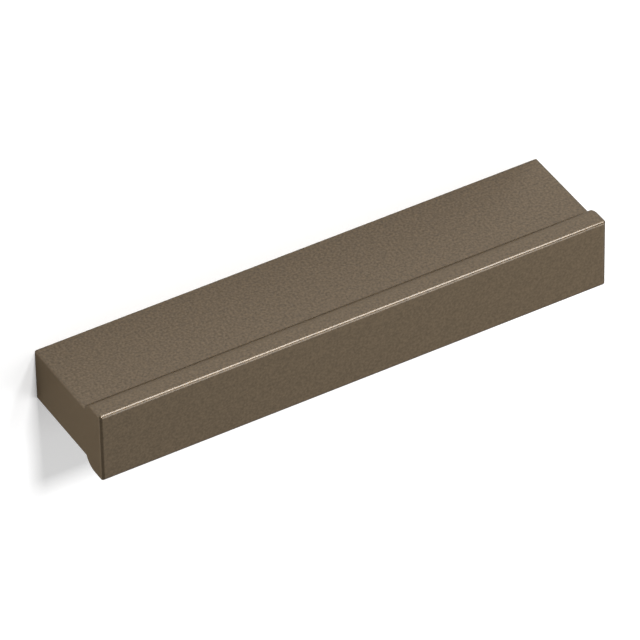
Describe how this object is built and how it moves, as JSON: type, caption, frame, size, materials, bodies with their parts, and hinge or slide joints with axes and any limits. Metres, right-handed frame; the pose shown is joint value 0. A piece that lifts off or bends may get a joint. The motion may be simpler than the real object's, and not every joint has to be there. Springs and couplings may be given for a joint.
{
  "type": "finger pull profile",
  "caption": "Solid bar pull with a T-shaped section: a flat-faced head overhangs a narrower stem above and below, so fingertips hook over its round shoulders; blind screw holes in the back.",
  "frame": {"origin": "middle of the flat mounting face at the back of the stem", "axes": "+X along the bar, +Y across it and upwards when it is mounted as in the picture, +Z out of the furniture front towards the user"},
  "size_m": [0.14, 0.02, 0.032],
  "materials": {
    "bronze_anodised_aluminium": "bead-blasted and bronze anodised, satin with a fine even grain"
  },
  "bodies": {
    "root": {"finger_pull_profile": "bronze_anodised_aluminium"}
  },
  "joints": []
}
